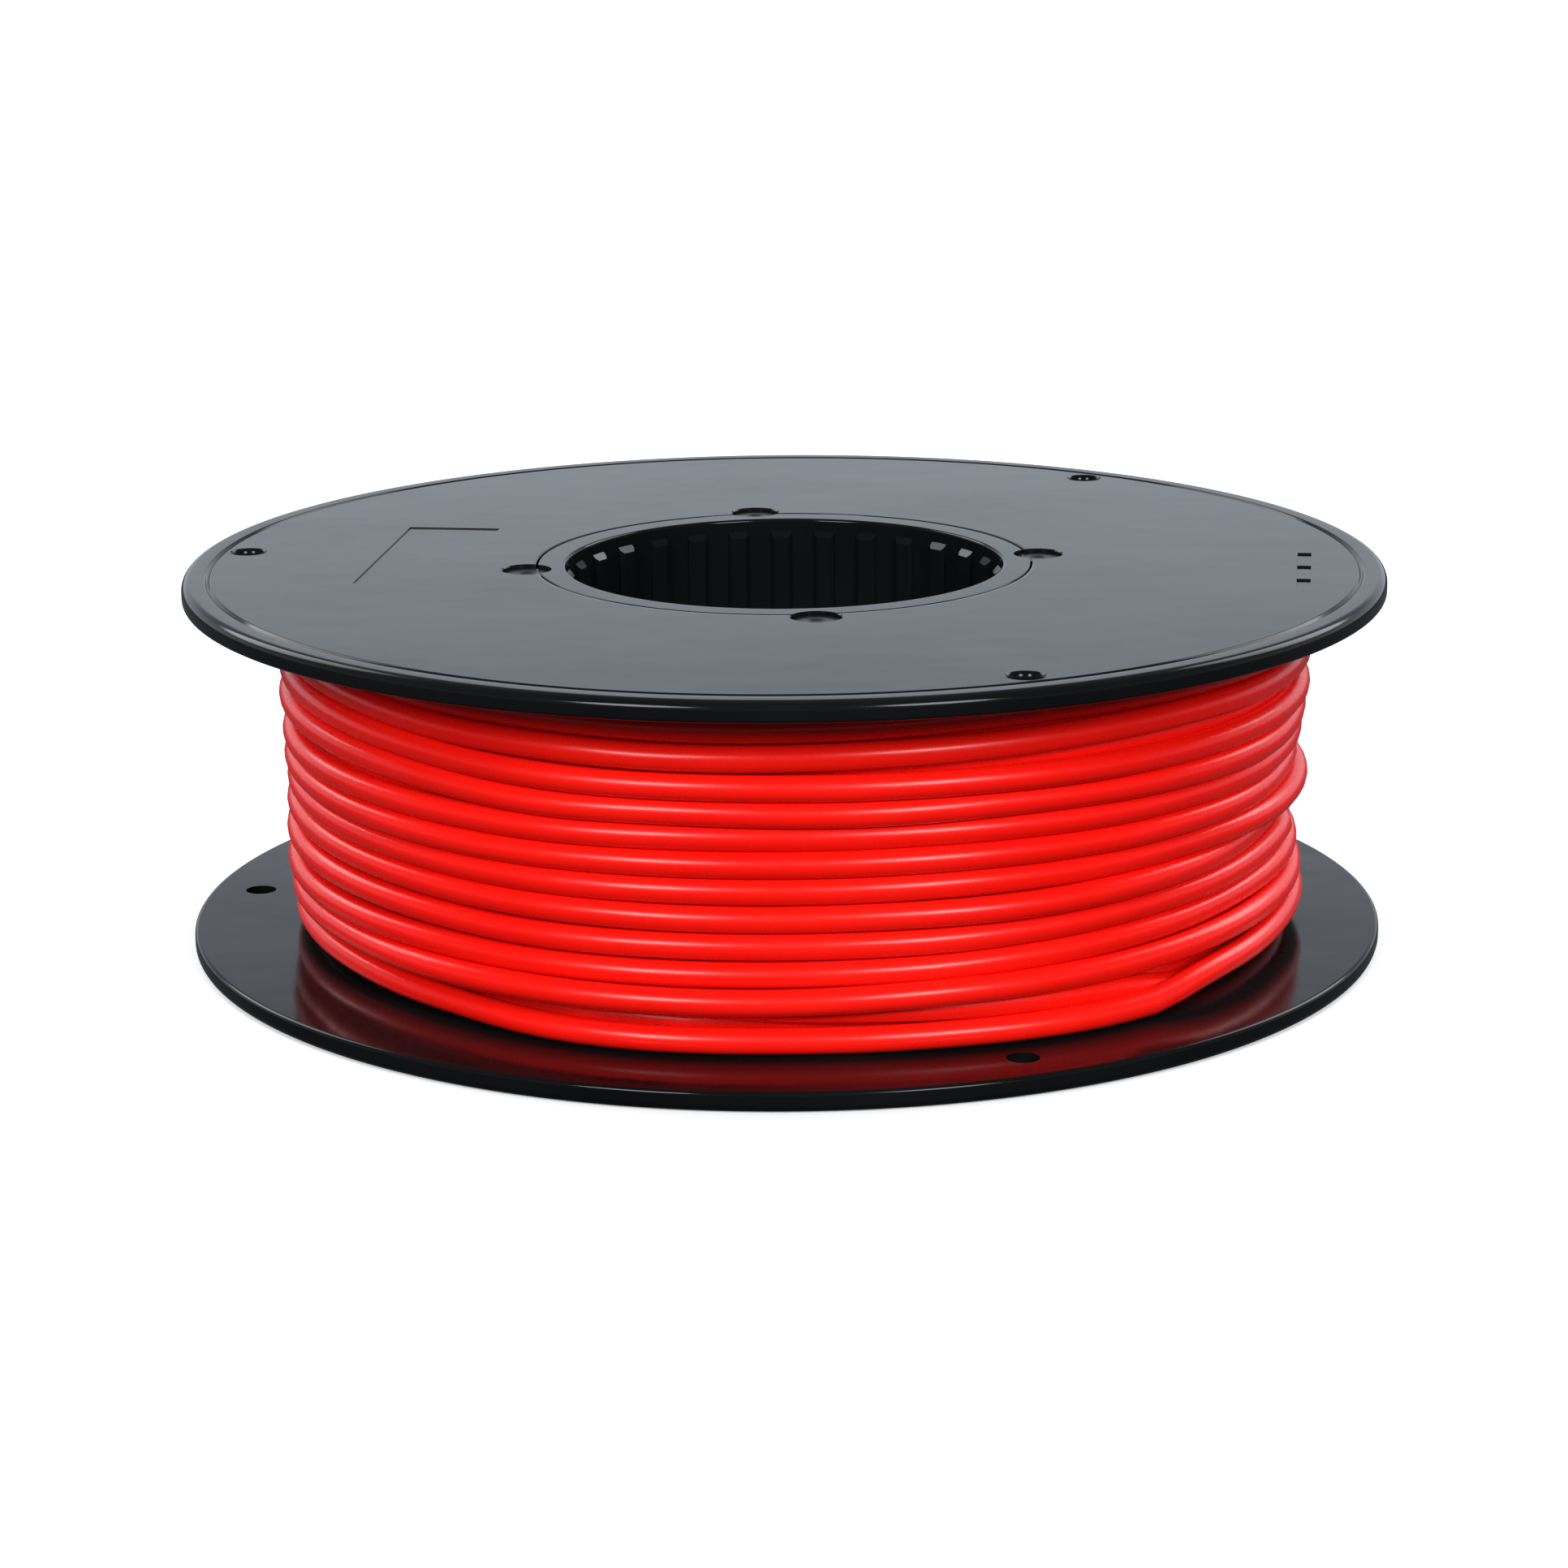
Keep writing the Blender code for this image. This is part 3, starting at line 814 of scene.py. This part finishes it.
# ================================================================ materials
def node_material(name):
    """A new material with its nodes and links."""
    material = bpy.data.materials.new(name)
    material.use_nodes = True
    return material, material.node_tree.nodes, material.node_tree.links


def noise(nodes, links, vector, scale, detail, rough=0.5):
    """Soft noise, from 0 to 1."""
    node = nodes.new("ShaderNodeTexNoise")
    node.inputs["Scale"].default_value = scale
    node.inputs["Detail"].default_value = detail
    node.inputs["Roughness"].default_value = rough
    links.new(vector, node.inputs["Vector"])
    return node.outputs["Fac"]


def ramp(nodes, links, value, low, high, span=(0.0, 1.0)):
    """Map a value's span onto the range from low to high, and hold it there outside the span."""
    node = nodes.new("ShaderNodeMapRange")
    node.inputs["From Min"].default_value, node.inputs["From Max"].default_value = span
    node.inputs["To Min"].default_value = low
    node.inputs["To Max"].default_value = high
    links.new(value, node.inputs["Value"])
    return node.outputs["Result"]


def mixed(nodes, links, share, colours):
    """A colour between the first and the second of a pair."""
    node = nodes.new("ShaderNodeMix")
    node.data_type = "RGBA"
    node.inputs["A"].default_value = (*colours[0], 1.0)
    node.inputs["B"].default_value = (*colours[1], 1.0)
    links.new(share, node.inputs["Factor"])
    return node.outputs["Result"]


def bump(nodes, links, height, strength, distance, normal=None):
    """Fine relief, laid over another one where that is given."""
    node = nodes.new("ShaderNodeBump")
    node.inputs["Strength"].default_value = strength
    node.inputs["Distance"].default_value = distance
    links.new(height, node.inputs["Height"])
    if normal is not None:
        links.new(normal, node.inputs["Normal"])
    return node.outputs["Normal"]


def object_place(nodes):
    """The point in the object's own metres."""
    return nodes.new("ShaderNodeTexCoord").outputs["Object"]


def plastic_material(name, colours, roughness):
    """Glossy moulded plastic: fine grain, faint flow clouds and light handling wear."""
    material, nodes, links = node_material(name)
    shader = nodes["Principled BSDF"]
    place = object_place(nodes)
    clouds = noise(nodes, links, place, scale=22.0, detail=3.0)
    scuffs = noise(nodes, links, place, scale=160.0, detail=4.0, rough=0.7)
    grains = noise(nodes, links, place, scale=2600.0, detail=1.0)
    share = ramp(nodes, links, clouds, low=0.0, high=1.0, span=NOISE_SPAN)
    links.new(mixed(nodes, links, share, colours), shader.inputs["Base Color"])
    flowed = ramp(nodes, links, clouds, low=roughness - 0.03, high=roughness + 0.05, span=NOISE_SPAN)
    worn = ramp(nodes, links, scuffs, low=-0.01, high=0.03, span=(0.35, 0.75))
    both = nodes.new("ShaderNodeMath")
    both.operation = "ADD"
    links.new(flowed, both.inputs[0])
    links.new(worn, both.inputs[1])
    links.new(both.outputs["Value"], shader.inputs["Roughness"])
    flow = bump(nodes, links, clouds, strength=0.25, distance=0.0008)
    grain = bump(nodes, links, grains, strength=0.10, distance=0.00002, normal=flow)
    links.new(grain, shader.inputs["Normal"])
    shader.inputs["IOR"].default_value = 1.47
    shader.inputs["Specular IOR Level"].default_value = 0.15
    return material


def insulation_material():
    """Glossy red PVC: slight tone changes, handling haze and fine lines drawn along the wire."""
    material, nodes, links = node_material("red insulation")
    shader = nodes["Principled BSDF"]
    place = object_place(nodes)
    tone = noise(nodes, links, place, scale=35.0, detail=2.0)
    haze = noise(nodes, links, place, scale=420.0, detail=3.0, rough=0.6)
    length = nodes.new("ShaderNodeUVMap")
    length.uv_map = "length"
    stretch = nodes.new("ShaderNodeMapping")
    stretch.inputs["Scale"].default_value = (30.0, 14.0, 1.0)
    links.new(length.outputs["UV"], stretch.inputs["Vector"])
    lines = noise(nodes, links, stretch.outputs["Vector"], scale=1.0, detail=2.0)
    share = ramp(nodes, links, tone, low=0.0, high=1.0, span=NOISE_SPAN)
    links.new(mixed(nodes, links, share, RED_INSULATION), shader.inputs["Base Color"])
    links.new(ramp(nodes, links, haze, low=0.25, high=0.31, span=NOISE_SPAN), shader.inputs["Roughness"])
    links.new(bump(nodes, links, lines, strength=0.05, distance=0.00003), shader.inputs["Normal"])
    shader.inputs["IOR"].default_value = 1.50
    shader.inputs["Specular IOR Level"].default_value = 0.26
    return material


def copper_material():
    """Bright copper with slight stains."""
    material, nodes, links = node_material("copper")
    shader = nodes["Principled BSDF"]
    stain = noise(nodes, links, object_place(nodes), scale=900.0, detail=3.0)
    links.new(mixed(nodes, links, stain, COPPER), shader.inputs["Base Color"])
    links.new(ramp(nodes, links, stain, low=0.22, high=0.42), shader.inputs["Roughness"])
    links.new(bump(nodes, links, stain, strength=0.1, distance=0.00005), shader.inputs["Normal"])
    shader.inputs["Metallic"].default_value = 1.0
    return material


def floor_material():
    """A matt pale floor that glows a little, so that it stays near white."""
    material, nodes, links = node_material("pale floor")
    shader = nodes["Principled BSDF"]
    tone = noise(nodes, links, object_place(nodes), scale=6.0, detail=2.0)
    links.new(mixed(nodes, links, tone, PALE_FLOOR), shader.inputs["Base Color"])
    shader.inputs["Roughness"].default_value = 0.8
    shader.inputs["Specular IOR Level"].default_value = 0.2
    shader.inputs["Emission Color"].default_value = WHITE
    shader.inputs["Emission Strength"].default_value = 0.30
    return material


# ================================================================ stage
def make_floor():
    """The floor, just under the spool. It takes shadows, throws no light back and shows in no reflection."""
    verts = [(x, y, -FLOOR_DROP) for x in (-FLOOR_HALF, FLOOR_HALF) for y in (-FLOOR_HALF, FLOOR_HALF)]
    floor = mesh_object("floor", verts, [(0, 2, 3, 1)], floor_material())
    floor.visible_diffuse = False
    floor.visible_glossy = False


def sun(name, azimuth, elevation, spread, strength, shines=True):
    """A soft distant light, with or without a highlight of its own."""
    data = bpy.data.lights.new(name, "SUN")
    data.angle = math.radians(spread)
    data.energy = strength
    light = bpy.data.objects.new(name, data)
    tilt = math.radians(elevation)
    back = polar(azimuth, math.cos(tilt)) + Vector((0.0, 0.0, math.sin(tilt)))
    light.rotation_euler = back.to_track_quat("Z", "Y").to_euler()
    light.location = back
    light.visible_glossy = shines
    bpy.context.scene.collection.objects.link(light)


def studio_light(nodes, links):
    """The studio's light on the spool: bright at the back and low down, dim above and in front."""
    way = nodes.new("ShaderNodeSeparateXYZ")
    links.new(nodes.new("ShaderNodeTexCoord").outputs["Generated"], way.inputs["Vector"])
    rise = nodes.new("ShaderNodeValToRGB")
    stops = rise.color_ramp.elements
    for number, (position, level) in enumerate(STUDIO_LEVELS):
        stop = stops[number] if number < len(stops) else stops.new(position)
        stop.position = position
        stop.color = (level, level, level, 1.0)
    links.new(ramp(nodes, links, way.outputs["Z"], low=0.0, high=1.0, span=(-1.0, 1.0)), rise.inputs["Fac"])
    tint = nodes.new("ShaderNodeMix")
    tint.data_type = "RGBA"
    tint.blend_type = "MULTIPLY"
    tint.inputs["Factor"].default_value = 1.0
    tint.inputs["B"].default_value = STUDIO_TINT
    links.new(rise.outputs["Color"], tint.inputs["A"])
    light = nodes["Background"]
    links.new(tint.outputs["Result"], light.inputs["Color"])
    behind = ramp(nodes, links, way.outputs["Y"], low=0.34, high=1.06, span=(-0.2, 0.6))
    links.new(behind, light.inputs["Strength"])
    return light.outputs["Background"]


def studio_world():
    """A world that is a white backdrop to the camera, and the studio's light to all else."""
    world = bpy.data.worlds.new("studio")
    world.use_nodes = True
    nodes, links = world.node_tree.nodes, world.node_tree.links
    backdrop = nodes.new("ShaderNodeBackground")
    backdrop.inputs["Color"].default_value = WHITE
    either = nodes.new("ShaderNodeMixShader")
    links.new(nodes.new("ShaderNodeLightPath").outputs["Is Camera Ray"], either.inputs["Fac"])
    links.new(studio_light(nodes, links), either.inputs[1])
    links.new(backdrop.outputs["Background"], either.inputs[2])
    links.new(either.outputs["Shader"], nodes["World Output"].inputs["Surface"])
    bpy.context.scene.world = world


def make_light():
    """Mirrored pairs of soft suns in front and behind, one overhead, and the studio round them."""
    for side, way in (("left", -1.0), ("right", 1.0)):
        azimuth = -90.0 + way * KEY_LIGHT_ASIDE
        sun(f"{side} key light", azimuth, elevation=27.0, spread=20.0, strength=2.15)
    for side, way in (("left", -1.0), ("right", 1.0)):
        azimuth = 90.0 - way * BACK_LIGHT_ASIDE
        sun(f"{side} back light", azimuth, elevation=34.0, spread=30.0, strength=1.1)
    sun("overhead light", 90.0, elevation=78.0, spread=50.0, strength=0.7, shines=False)
    studio_world()
    bpy.context.scene.view_settings.view_transform = "Standard"


def main():
    """The camera, the wire, the moulded parts, the floor and the light."""
    make_camera()
    plastic = plastic_material("black plastic", BLACK_PLASTIC, roughness=0.10)
    key_plastic = plastic_material("key plastic", KEY_PLASTIC, roughness=0.22)
    wire, path = make_wire(insulation_material())
    conductor = make_conductor(path, copper_material())
    make_flange("upper_flange", SPOOL_HEIGHT, 1, plastic)
    make_flange("lower_flange", 0.0, -1, plastic)
    make_hub(plastic)
    make_keys(key_plastic)
    make_floor()
    make_light()


main()
